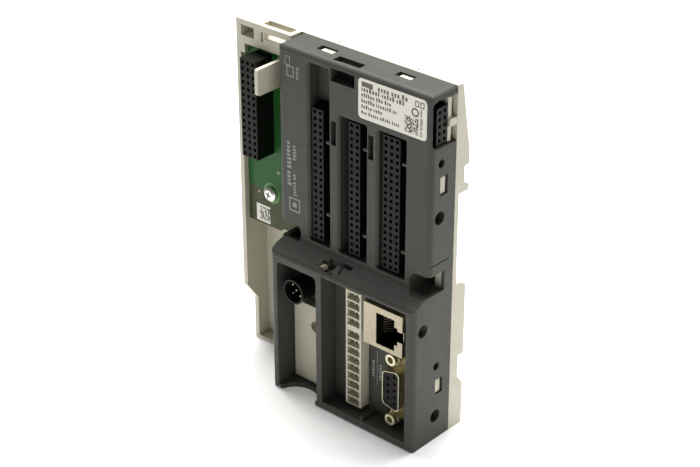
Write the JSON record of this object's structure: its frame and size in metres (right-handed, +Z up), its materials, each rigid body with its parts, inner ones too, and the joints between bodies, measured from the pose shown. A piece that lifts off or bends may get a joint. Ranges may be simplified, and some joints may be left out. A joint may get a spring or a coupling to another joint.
{
  "type": "modular controller base",
  "caption": "Wall or rail base of a modular controller: open tray, module sockets, fieldbus plug, terminal header, network and D-sub ports, sprung rail latch.",
  "frame": {"origin": "centre of the bounding box at its bottom", "axes": "+Z up along the height, front with all sockets and ports faces -Y, +X is the right side face"},
  "size_m": [0.096, 0.028, 0.135],
  "materials": {
    "cream_plastic": "fine moulded texture",
    "dark_plastic": "fine spark-eroded texture",
    "board_laminate": "solder mask with faint tracks",
    "screw_steel": "zinc plated",
    "chip_black": "moulded epoxy",
    "label_paper": null,
    "socket_plastic": "glass-filled, slightly satin",
    "contact_gold": "gold flash",
    "header_plastic": "moulded",
    "tin_plate": "tin plated",
    "zinc_plate": "yellow passivated",
    "insert_plastic": "moulded",
    "carrier_plastic": "moulded",
    "latch_plastic": "moulded"
  },
  "bodies": {
    "base": {"back_housing": "cream_plastic", "guide_blade": "cream_plastic", "front_cover": "dark_plastic", "main_board": "board_laminate", "board_screws": "screw_steel", "latch_spring": "screw_steel", "board_parts": "chip_black", "board_label": "label_paper", "rating_label": "label_paper", "coupler_socket": "socket_plastic", "cpu_socket_left": "socket_plastic", "cpu_socket_middle": "socket_plastic", "cpu_socket_right": "socket_plastic", "bus_socket": "socket_plastic", "coupler_contacts": "contact_gold", "cpu_contacts_left": "contact_gold", "cpu_contacts_middle": "contact_gold", "cpu_contacts_right": "contact_gold", "bus_contacts": "contact_gold", "rj45_contacts": "contact_gold", "dsub_contacts": "contact_gold", "terminal_header": "header_plastic", "terminal_pins": "tin_plate", "rj45_shield": "tin_plate", "dsub_shell": "tin_plate", "dsub_standoffs": "tin_plate", "fieldbus_pins": "tin_plate", "dsub_flange": "zinc_plate", "rj45_insert": "insert_plastic", "dsub_insulator": "insert_plastic", "fieldbus_shell": "insert_plastic", "fieldbus_insert": "insert_plastic", "fieldbus_carrier": "carrier_plastic"},
    "latch": {"rail_latch": "latch_plastic"}
  },
  "joints": [
    {"name": "rail_latch_slide", "type": "slide", "parent": "base", "child": "latch", "axis": [0, 0, -1], "range_m": [0, 0.0032], "stiffness_N_per_m": 800, "springref_m": -0.004, "deforming": ["latch_spring"]}
  ]
}
